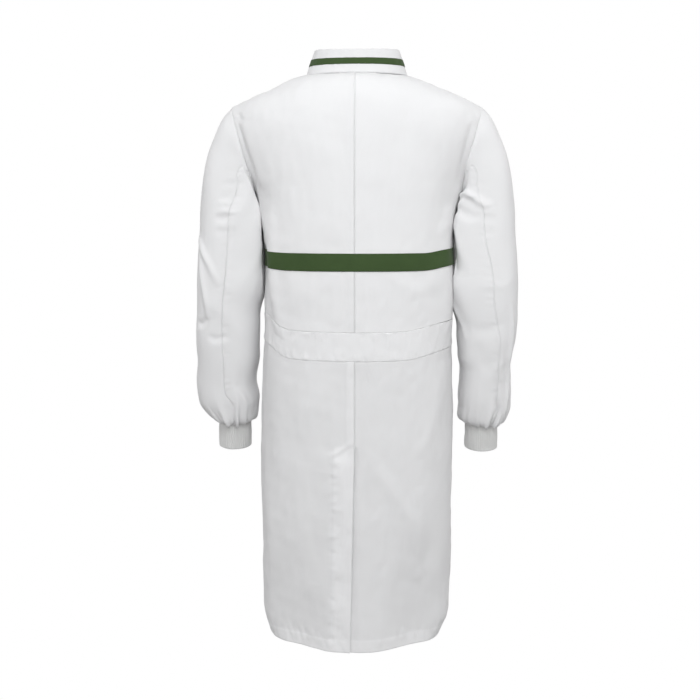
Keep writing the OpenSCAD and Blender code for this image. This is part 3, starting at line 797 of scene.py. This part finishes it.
def sheet(name, base, edges, seed, nodes, body, lift=0.0, extra=0.0, fabric="cloth", thin=None):
    """One sewn sheet of the body: relief, stitches, mesh, and its place on the frame."""
    material, slot, thread = {
        "cloth": (cotton, "coat_cloth", white_threads),
        "tape": (tape_green, "tape_cloth", green_threads),
    }[fabric]
    folds = uneven(base) + body_folds(base)
    grid = relieved(hung(softened(base)), edges, seed, folds + extra, lift)
    sew(grid, edges, thread[body])
    settle(shell(name, grid, cloth_t, material, thin=thin), nodes, body)
    return grid


centre = np.zeros_like
side = np.ones_like
flap_edge = lambda h: q_at(8 * np.clip(1 - h / vent_z, 0, 1), h)
under_edge = lambda h: -q_at(vent_w - 6, h) * np.clip((vent_z - h) / 36, 0, 1)
body_top_h = underarm_z + rise_len


def felled(x, z):
    """The felled seam's turned strip, on the left of the centre-back seam and ending at the vent."""
    return felled_t * ease((felled_w - x) / 2.5 + 0.5) * ease((z - vent_z) / 8)


def above_hem(z):
    """0 on the doubled cloth of the hem and 1 above it."""
    return ease((z - hem_turn) / 2 + 0.5)


def facing_x(z):
    """Distance of the flap's inner stitch line from the centre, a little wider towards the hem."""
    return vent_w - 1.5 + 5 * np.clip(1 - z / vent_z, 0, 1)


def vent_relief(x, z):
    """The vent's flap: its folded edge rides over the right skirt, its inner stitch line is drawn up
    into a ridge, and a slanting crease marks the bar tack at its head."""
    below, drop, inside = ease((vent_z - z) / 36), vent_z - z, x - facing_x(z)
    gather = waves(90, 17)(stack(z, 0.4 * x, 0 * z))
    loose = waves(91, 75)(stack(z, 0.5 * x, 0 * z))
    d = below * (0.9 + 2.6 * bell(inside - 1, np.where(inside > 0, 19, 13)))
    d = d + below * (gather * (0.5 * bell(inside + 5, 13) + 0.4 * bell(inside, 4)) - 0.7 * bell(inside, 1.6))
    d = d + 1.7 * below * loose * bell(inside + 18, 15)
    d = d + 5.0 * ease(drop / 44) * bell(drop, 200) * bell(x - 21, 15) * ease(drop / 4)
    return d + crease(x, z, [(vent_w + 8, vent_z - 22), (22, vent_z - 8), (1, vent_z + 3)], 5, 2.0, 0.7)


def sew_column(grid, line, low, high, thread):
    """A stitch line down a back panel between two heights. line(z) is its distance from the centre."""
    normals = grid_normals(grid)
    points, square = [], []
    for row, up in zip(grid, normals):
        order = np.argsort(row[:, 0])
        if low < row[0, 2] < high:
            x = line(row[0, 2])
            points.append([np.interp(x, row[order, 0], row[order, k]) for k in range(3)])
            square.append([np.interp(x, row[order, 0], up[order, k]) for k in range(3)])
    thread.add(np.array(points), np.array(square))


def make_back():
    """The two backs, the inset waistband, the skirts with their vent, and the chest tape."""
    for left, tag in sides:
        base = body_grid(True, left, waist_top_z, body_top_h, centre, side)
        edges = named_edges(True, left, CENTRE_SEAM, PLAIN_SEAM, PLAIN_SEAM, PLAIN_SEAM)
        strip = felled(base[..., 0], base[..., 2]) if left else 0.0
        grid = sheet(f"back_{tag}", base, edges, 11 + left, [f"back_{tag}"], "coat_body", extra=strip)
        if left:
            for x in felled_stitches:
                sew_column(grid, lambda z: x, waist_top_z, neck_back_z - 2, white_threads["coat_body"])

    base = body_grid(True, True, 0, waist_low_z, flap_edge, side)
    x, z = base[..., 0], base[..., 2]
    edges = named_edges(True, True, CENTRE_SEAM, PLAIN_SEAM, HEM, PLAIN_SEAM)
    facing = ease((facing_x(z) - x) / 2 + 0.5) * ease((vent_z - z) / 6 + 0.5)
    # Painted shade goes on the single layer only: the flap's facing, the felled strip and the hem stay
    # brighter.
    single = (1 - facing) * (1 - felled(x, z) / felled_t) * above_hem(z)
    grid = sheet("skirt_back_left", base, edges, 14, ["skirt_back_left", "vent_flap"], "vent_left_edge",
                 extra=vent_relief(x, z) + felled(x, z), thin=single)
    for x in felled_stitches:
        sew_column(grid, lambda z: x, vent_z + 6, waist_low_z, white_threads["vent_left_edge"])
    sew_column(grid, facing_x, hem_turn, vent_z - 10, white_threads["vent_left_edge"])

    base = body_grid(True, False, 0, waist_low_z, under_edge, side)
    under = ease((base[..., 0] + 7) / 9) * ease((vent_z + 10 - base[..., 2]) / 30)
    edges = named_edges(True, False, CENTRE_SEAM, PLAIN_SEAM, HEM, PLAIN_SEAM)
    # The right skirt's single layer above the hem gets painted shade in its colour.
    sheet("skirt_back_right", base, edges, 15, ["skirt_back_right", "vent_underlap"], "vent_right_edge",
          extra=-1.3 * layer * under, thin=above_hem(base[..., 2]))

    facing_start = lambda h: flap_edge(h) + 0.004
    facing_end = lambda h: q_at(vent_w - 2, h)
    base = body_grid(True, True, 3, vent_z - 6, facing_start, facing_end)
    edges = named_edges(True, True, BARE, BARE, BARE, BARE)
    sheet("vent_facing", base, edges, 16, ["vent_facing"], "vent_left_edge", lift=-1.1)

    for name, low, high, lift, style, fabric in (
            ("waistband_back", waist_low_z, waist_top_z, band_stand, BAND_EDGE, "cloth"),
            ("chest_tape_back", tape_low_z, tape_top_z, tape_stand, TAPE_EDGE, "tape")):
        rows = mix(low, high, stations(high - low, 2.4))
        cols = 1 - 2 * stations(2 * half_girth, 2.4)
        h, q = np.meshgrid(rows, cols, indexing="ij")
        base = body_point(q, h, True)
        edges = {"start": BARE, "end": BARE, "low": style, "high": style}
        x, z = base[..., 0], base[..., 2]
        over = felled(x, z) * ease((x + 2) / 3) if fabric == "tape" else 0.0
        sheet(name, base, edges, 17 + len(fabric), [name], "coat_body", lift=lift, extra=over, fabric=fabric)


def front_rise(base, left):
    """The left front climbs on to the right one at the centre, and its free edge comes down on it;
    the right front lies flat."""
    x = base[..., 0]
    return 5.2 * ease((36 - x) / 15) - edge_fall(x) if left else 0.0 * x


def edge_fall(x):
    """How far the left front's free edge comes down past the press studs."""
    return 3.4 * ease((-x - 9) / 9)


def make_front():
    """Each front from waist to neck, its waistband and skirt, and its length of chest tape."""
    left_edge = lambda h: -q_at(placket_half_w - 0.8, h)
    right_edge = lambda h: -q_at(placket_half_w - 4.5, h)
    for left, tag, edge in ((True, "left", left_edge), (False, "right", right_edge)):
        body = f"{tag}_front"
        parts = (("front", waist_top_z, body_top_h, PLAIN_SEAM, PLAIN_SEAM),
                 ("waistband", waist_low_z, waist_top_z, BAND_EDGE, BAND_EDGE),
                 ("skirt", 0, waist_low_z, HEM, PLAIN_SEAM))
        for k, (name, low, high, low_edge, high_edge) in enumerate(parts):
            base = body_grid(False, left, low, high, edge, side)
            edges = named_edges(False, left, BARE, PLAIN_SEAM, low_edge, high_edge)
            # A skirt's single layer above the hem gets painted shade in its colour.
            sheet(f"{name}_{tag}", base, edges, 30 + 3 * left + k,
                  [f"{name}_{tag}_side", f"{name}_{tag}_flap"], body,
                  lift=band_stand if name == "waistband" else 0.0, extra=front_rise(base, left),
                  thin=above_hem(base[..., 2]) if name == "skirt" else None)
        start = lambda h: q_at(placket_half_w + 1.0, h)
        base = body_grid(False, left, tape_low_z, tape_top_z, start, side)
        edges = named_edges(False, left, BARE, BARE, TAPE_EDGE, TAPE_EDGE)
        sheet(f"chest_tape_{tag}", base, edges, 40 + left,
              [f"chest_tape_{tag}_side", f"chest_tape_{tag}_flap"], body, lift=tape_stand,
              extra=front_rise(base, left), fabric="tape")


def make_plackets():
    """The strip down each front that the press studs are set in."""
    top = underarm_z + rise_len - 7
    for left, tag, x0, x1, lift in ((True, "left", -placket_half_w, placket_half_w, placket_lift),
                                    (False, "right", -placket_half_w, placket_half_w - 4, 0.9)):
        rows = mix(0.4, top, stations(top))
        h, u = np.meshgrid(rows, stations(x1 - x0, 2.0), indexing="ij")
        x = mix(x0, x1, u)
        q = np.where(x < 0, -1, 1) * q_at(np.abs(x), h)
        base = body_point(q, h, False)
        edges = {"start": PLACKET_EDGE, "end": PLACKET_EDGE, "low": BARE, "high": BARE}
        sheet(f"placket_{tag}", base, edges, 44 + left, [f"placket_{tag}_upper", f"placket_{tag}_lower"],
              f"{tag}_front", lift=lift, extra=-edge_fall(base[..., 0]) if left else 0.0)


# ---------- sleeves and cuffs ----------

def seam_allowance(rim, left):
    """The row that carries a sleeve's cloth a few millimetres past the armhole seam, inside the body."""
    side = np.ones(3) if left else mirror
    middle = (rim_point(np.array([0.0])) + rim_point(np.array([math.pi]))) / 2 * side
    return rim + 0.05 * (middle - rim) - seam_reach * armhole_out * side


def make_sleeves():
    """Two-piece sleeves, gathered into knitted cuffs."""
    for left, tag in sides:
        for part in ("top", "under"):
            across = stations(math.radians(200) * sleeve_r)
            v, u = np.meshgrid(stations(sleeve_len), across, indexing="ij")
            seam = eased(v, left_back_seam if left else right_back_seam)
            first, last = (front_seam - 360, seam) if part == "top" else (seam, front_seam)
            turn = np.radians(mix(first, last, u))
            base = armpit(sleeve_point(turn, v, left), left)
            folds = sleeve_folds(base, turn, left) * ease((1 - v) / 0.06) * ease(v / 0.004)
            droop = 0.45 + 0.55 * np.sin(turn) ** 2 if left else 0.6 + 0.4 * np.sin(turn + 0.7)
            base[..., 2] -= 11 * bell(base[..., 2] - cuff_top_z - 7, 15) * droop
            if not left:
                base, folds = (base * mirror)[:, ::-1], folds[:, ::-1]
            edges = {"start": PLAIN_SEAM, "end": PLAIN_SEAM, "low": PLAIN_SEAM, "high": PLAIN_SEAM}
            if part == "under":
                edges["start" if left else "end"] = TOP_SEAM
            grid = relieved(base, edges, 50 + left + 2 * (part == "top"), folds)
            sew(grid, edges, white_threads[f"{tag}_sleeve"])
            grid = np.concatenate([grid, seam_allowance(grid[-1:], left)])
            settle(shell(f"sleeve_{part}_{tag}", grid, cloth_t, cotton),
                   [f"sleeve_{part}_{tag}"], f"{tag}_sleeve")


def make_cuffs():
    """Rib-knit cuffs: a doubled tube with a rounded lower fold."""
    ribs = 46
    outer_rows, inner_rows = 22, 12
    fold_r = 1.3
    fold_down = cuff_len - 2.5
    outer_r = cuff_bore_r + knit_t
    axis = np.array([0, -math.sin(forearm_lean), -math.cos(forearm_lean)])
    forward = np.array([0, math.cos(forearm_lean), -math.sin(forearm_lean)])
    top = np.array([wrist_x, cuff_y, cuff_top_z])
    roll = np.linspace(0, math.pi, 7)[1:]
    down = np.concatenate([np.linspace(-4, fold_down, outer_rows), fold_down + fold_r * np.sin(roll),
                           np.linspace(cuff_len - 4, 2, inner_rows)])
    inset = np.concatenate([np.zeros(outer_rows), fold_r * (1 - np.cos(roll)),
                            np.full(inner_rows, 2 * fold_r)])
    turn = np.arange(ribs * 5) / (ribs * 5) * 2 * math.pi
    for left, tag in sides:
        t, a = np.meshgrid(down[::-1], turn, indexing="ij")
        pull = np.broadcast_to(inset[::-1][:, None], a.shape)
        wobble = waves(60 + left, 30)(stack(30 * np.cos(a), 30 * np.sin(a), t))
        rib = 0.42 * np.cos(ribs * a) + 0.5 * wobble
        waist = 0.8 * bell(t - 0.6 * cuff_len, 20)
        r = outer_r - 0.5 - pull + (rib + waist) * (1 - 0.6 * pull / (2 * fold_r))
        grid = (top + t[..., None] * axis + (r * np.cos(a))[..., None] * np.array([1.0, 0, 0])
                + (r * np.sin(a))[..., None] * forward)
        if not left:
            grid = (grid * mirror)[:, ::-1]
        obj = shell(f"cuff_{tag}", grid, 0.9, knit_yarn, closed=True)
        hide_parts(f"cuff_{tag}")
        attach(obj, f"{tag}_sleeve")


# ---------- collar, label and loop ----------

def collar_point(turn, rise, offset):
    """turn is in radians from the centre front; offset is square to the collar, outward."""
    back = np.cos(turn) < 0
    lean = collar_lean * rise
    d = np.where(back, neck_back_d, neck_front_d) - lean + offset
    base = np.where(back, neck_back_z, neck_z(neck_half_w * np.sin(turn), False))
    height = base + mix(collar_foot, collar_h - 1.2, rise) + 0.3 * offset
    height = height - 4 * rise * np.cos(turn) ** 2 + 4 * rise
    return stack((neck_half_w - lean + offset) * np.sin(turn), -d * np.cos(turn), height)


def make_collar():
    """A stand collar of two layers with a turned top edge, and the narrow tape round it."""
    rows = 18
    arc = np.linspace(0, math.pi, 9)[1:-1]
    rise = np.concatenate([np.linspace(0, 1, rows), 1 + 0.022 * np.sin(arc), np.linspace(1, 0.02, rows)])
    offset = np.concatenate([np.full(rows, 1.0), np.cos(arc), np.full(rows, -1.0)])
    turns = np.radians(mix(collar_end, 360 - collar_end, stations(collar_len, 2.6)))
    turn, level = np.meshgrid(turns, np.arange(len(rise)), indexing="xy")
    closing = ease(np.minimum(turn - turns[0], turns[-1] - turn) * 85 / 4)
    grid = collar_point(turn, rise[level], offset[level] * mix(0.35, 1, closing))
    puff = 0.35 * uneven(grid) + 0.25 * ripple(grid)
    grid = grid + grid_normals(grid) * puff[..., None]
    outer_rows = grid[:rows]
    thread = white_threads["coat_body"]
    for distance in (1.8, 42.5):
        thread.add(*line_beside(outer_rows, "low", distance), inset=3)
    collar = shell("collar", grid, cloth_t, collar_cotton_shaded)
    settle(collar, ["collar_outer", "collar_inner"], "coat_body")

    low, high = 0.5 - 6.5 / collar_h, 0.5 + 6.5 / collar_h
    turn, level = np.meshgrid(turns, np.linspace(low, high, 9), indexing="xy")
    base = collar_point(turn, level, np.full_like(turn, 1.0))
    edges = {"low": TAPE_EDGE, "high": TAPE_EDGE, "start": BARE, "end": BARE}
    grid = relieved(base, edges, 70, 0.35 * uneven(base) + 0.25 * ripple(base), 1.0)
    sew(grid, edges, green_threads["coat_body"])
    settle(shell("collar_tape", grid, cloth_t, tape_green), ["collar_tape"], "coat_body")


def make_label_and_loop():
    """A blank neck label, and the loop that the coat hangs from."""
    low, high = box_mm("neck_label")
    x, z = np.meshgrid(np.linspace(high[0], low[0], 24), np.linspace(low[2], high[2], 16), indexing="xy")
    sag = 0.8 * np.sin((high[0] - x) / (high[0] - low[0]) * math.pi) * (high[2] - z) / (high[2] - low[2])
    grid = stack(x, (low[1] + high[1]) / 2 - sag, z)[:, ::-1]
    edges = dict.fromkeys(("start", "end", "low", "high"), LABEL_EDGE)
    grid = relieved(grid, edges, 72, 0.0)
    sew(grid, edges, white_threads["coat_body"])
    settle(shell("neck_label", grid, 0.5, lining), ["neck_label"], "coat_body")

    low, high = box_mm("hanging_loop")
    r = (high[0] - low[0]) / 2 - 0.7
    foot_z = low[2] + r + 0.7
    bow = np.linspace(math.pi, 2 * math.pi, 40)
    path_x = np.concatenate([np.full(5, -r), r * np.cos(bow), np.full(5, r)])
    path_z = np.concatenate([np.linspace(high[2], foot_z + 0.5, 5), foot_z + r * np.sin(bow),
                             np.linspace(foot_z + 0.5, high[2], 5)])
    width = np.linspace(high[1] - 0.2, low[1] + 0.2, 7)
    along, across = np.meshgrid(np.arange(len(path_x)), width, indexing="xy")
    grid = stack(path_x[along], across, path_z[along])
    grid = grid + grid_normals(grid) * (0.12 * ripple(grid * 2))[..., None]
    settle(shell("hanging_loop", grid, 1.0, lining), ["hanging_loop"], "loop")


# ---------- pockets ----------

def make_pockets():
    """The two layers of each pocket bag, hanging behind the front from the side seam."""
    for left, tag in sides:
        low, high = box_mm(f"pocket_bag_{tag}")
        inner_x = min(abs(low[0]), abs(high[0]))
        for k, depth in enumerate((3.6, 6.6)):
            start = lambda h: q_at(inner_x + 14 * (1 - ease((h - low[2]) / 30)), h)
            end = lambda h: np.full_like(h, 0.93)
            base = body_grid(False, left, low[2], high[2], start, end)
            edges = named_edges(False, left, POCKET_EDGE, BARE, POCKET_EDGE, BARE)
            nodes = [f"pocket_bag_{tag}"] if k == 0 else []
            sheet(f"pocket_bag_{tag}_{'outer' if k == 0 else 'inner'}", base, edges, 80 + k + 2 * left,
                  nodes, "coat_body", lift=-depth)


# ---------- press studs ----------

def lathe(profile, place, axis, segments=28):
    """Points and quads of a turned form: profile is (radius, height) pairs along the axis."""
    axis = unit(np.asarray(axis, float))
    one = unit(np.cross(axis, np.array([1.0, 0, 0])))
    two = np.cross(axis, one)
    a = np.arange(segments) / segments * 2 * math.pi
    rings = [place + h * axis + r * (np.cos(a)[:, None] * one + np.sin(a)[:, None] * two) for r, h in profile]
    faces = [[i * segments + j, i * segments + (j + 1) % segments,
              (i + 1) * segments + (j + 1) % segments, (i + 1) * segments + j]
             for i in range(len(profile) - 1) for j in range(segments)]
    return np.concatenate(rings), faces


CAP = [(0.01, 1.9), (2.5, 1.85), (4.6, 1.65), (6.2, 1.25), (7.1, 0.7), (7.3, 0.25), (7.0, 0.0), (0.01, 0.0)]
SOCKET = [(0.01, -0.3), (6.0, -0.3), (6.2, -0.8), (5.8, -1.4), (4.9, -1.9), (4.2, -2.3), (3.4, -2.3),
          (3.2, -1.6), (0.01, -1.4)]
POST = [(0.01, 0.3), (6.1, 0.3), (6.2, 0.7), (5.6, 1.2), (3.2, 1.5), (2.2, 1.7), (2.0, 2.4), (2.3, 2.9),
        (2.0, 3.3), (1.0, 3.5), (0.01, 3.55)]
RING = [(3.0, -0.4), (6.3, -0.4), (6.5, -0.8), (6.0, -1.3), (3.6, -1.4), (3.0, -1.2), (3.0, -0.4)]
stud_count, stud_low_z, stud_top_z = 6, 150, 855
neck_stud_z = neck_front_z - 62
stud_heights = [mix(stud_low_z, stud_top_z, k / (stud_count - 1)) for k in range(stud_count)] + [neck_stud_z]


def front_depth(z):
    """Distance of the front's cloth from the middle plane, on the centre line."""
    rise = np.clip((z - underarm_z) / (neck_front_z - underarm_z), 0, 1)
    return mix(neck_front_d, half_d(z, False), (1 - rise ** front_power) ** (1 / front_power))


def make_studs():
    """Seven press studs: cap and socket on the left front, post and ring on the right one."""
    groups = {
        "left": [("cap", CAP, placket_lift + 0.5), ("socket", SOCKET, placket_lift - 0.5)],
        "right": [("post", POST, 1.0), ("ring", RING, 0.2)],
    }
    nodes = {"left": ["stud_caps", "stud_sockets", "neck_stud_cap", "neck_stud_socket"],
             "right": ["stud_posts", "stud_rings", "neck_stud_post", "neck_stud_ring"]}
    for tag, parts in groups.items():
        verts, faces, count = [], [], 0
        for z in stud_heights:
            y = float(front_depth(np.float64(z)))
            slope = float(front_depth(np.float64(z - 6)) - front_depth(np.float64(z + 6))) / 12
            axis = unit(np.array([0, -1.0, slope]))
            cloth = np.array([0, -y, z])
            rise = float(uneven(cloth[None, :])[0])
            for _, profile, lift in parts:
                v, f = lathe(profile, cloth + axis * (lift + rise), axis)
                faces += [[k + count for k in q] for q in f]
                verts.append(v)
                count += len(v)
        obj = add_mesh(f"press_studs_{tag}", np.concatenate(verts), faces, nickel)
        settle(obj, nodes[tag], f"{tag}_front")


def finish_threads():
    """One mesh of stitches for each body and each colour of thread."""
    for threads, prefix, material, slot in ((white_threads, "stitches", thread_white, "coat_cloth"),
                                            (green_threads, "tape_stitches", thread_green, "tape_cloth")):
        for body, thread in threads.items():
            if thread.count:
                settle(thread.finish(f"{prefix}_{body}", material), [], body)


# ---------- floor, light and camera ----------

def seen_or_lit(tree, seen, lit, output):
    """Joins two shaders: the camera sees the first, and the light in the scene meets the second."""
    add = node_adder(tree)
    from_camera = add("ShaderNodeLightPath").outputs["Is Camera Ray"]
    either = add("ShaderNodeMixShader", {"Fac": from_camera, 1: lit.outputs[0], 2: seen.outputs[0]})
    set_inputs(output, {"Surface": either.outputs[0]})


def make_floor():
    bpy.ops.mesh.primitive_plane_add(size=60, location=(0, 0, -0.35))
    floor = bpy.context.object
    floor.name = "floor"
    paper, surface, add = node_kit("pale_paper")
    set_inputs(surface, {"Base Color": (0.30, 0.30, 0.30, 1), "Roughness": 0.95})
    white = add("ShaderNodeEmission", {"Color": (1, 1, 1, 1), "Strength": 1.0})
    tree = paper.node_tree
    seen_or_lit(tree, white, surface, tree.nodes["Material Output"])
    floor.data.materials.append(paper)


def make_world():
    world = bpy.data.worlds.new("studio")
    world.use_nodes = True
    tree = world.node_tree
    add = node_adder(tree)
    parts = add("ShaderNodeSeparateXYZ", {0: add("ShaderNodeTexCoord").outputs["Generated"]})
    dome = add("ShaderNodeMapRange", {"Value": parts.outputs["Z"], "To Min": 1.44, "To Max": 0.28})
    lit = set_inputs(tree.nodes["Background"], {"Color": (0.998, 0.996, 1.0, 1), "Strength": dome.outputs[0]})
    seen = add("ShaderNodeBackground", {"Color": (1, 1, 1, 1)})
    seen_or_lit(tree, seen, lit, tree.nodes["World Output"])
    bpy.context.scene.world = world
    bpy.context.scene.view_settings.view_transform = "Standard"


def area_light(name, place, target, size, power, colour):
    data = bpy.data.lights.new(name, "AREA")
    data.shape, data.size, data.size_y = "RECTANGLE", size[0], size[1]
    data.energy, data.color = power, colour
    light = bpy.data.objects.new(name, data)
    light.location = place
    direction = np.array(target) - np.array(place)
    yaw = math.atan2(direction[1], direction[0])
    pitch = math.atan2(direction[2], math.hypot(direction[0], direction[1]))
    light.rotation_euler = (math.pi / 2 + pitch, 0, yaw - math.pi / 2)
    bpy.context.scene.collection.objects.link(light)


def make_lights():
    """A soft key above the camera, a little to the wearer's right, and a weak light on that side."""
    area_light("key", (-0.1, 1.8, 1.9), (0, 0, 0.8), (0.9, 0.6), 19, (0.96, 0.985, 1.0))
    area_light("side_right", (-2.4, 0.3, 1.2), (0, 0, 0.6), (0.6, 1.6), 3, (1, 1, 1))
    area_light("low_fill", (0.1, 2.4, 0.35), (0, 0, 0.35), (1.6, 0.5), 3.5, (1, 1, 1))
    area_light("front_fill", (0.0, -2.6, 1.8), (0, 0, 0.6), (2.0, 2.0), 10, (1, 1, 1))


def make_camera():
    """Level with the coat's chest, two metres behind it and a little to the wearer's right."""
    distance, eye_z, turn = 2.0, 0.835, math.radians(2)
    data = bpy.data.cameras.new("camera")
    data.lens = 52.1
    data.shift_x, data.shift_y = -0.01, -3 / 14
    camera = bpy.data.objects.new("camera", data)
    camera.location = (-distance * math.sin(turn), distance * math.cos(turn), eye_z)
    camera.rotation_euler = (math.pi / 2, 0, math.pi + turn)
    bpy.context.scene.collection.objects.link(camera)
    bpy.context.scene.camera = camera


make_back()
make_front()
make_plackets()
make_sleeves()
make_cuffs()
make_collar()
make_label_and_loop()
make_pockets()
make_studs()
finish_threads()
make_floor()
make_world()
make_lights()
make_camera()
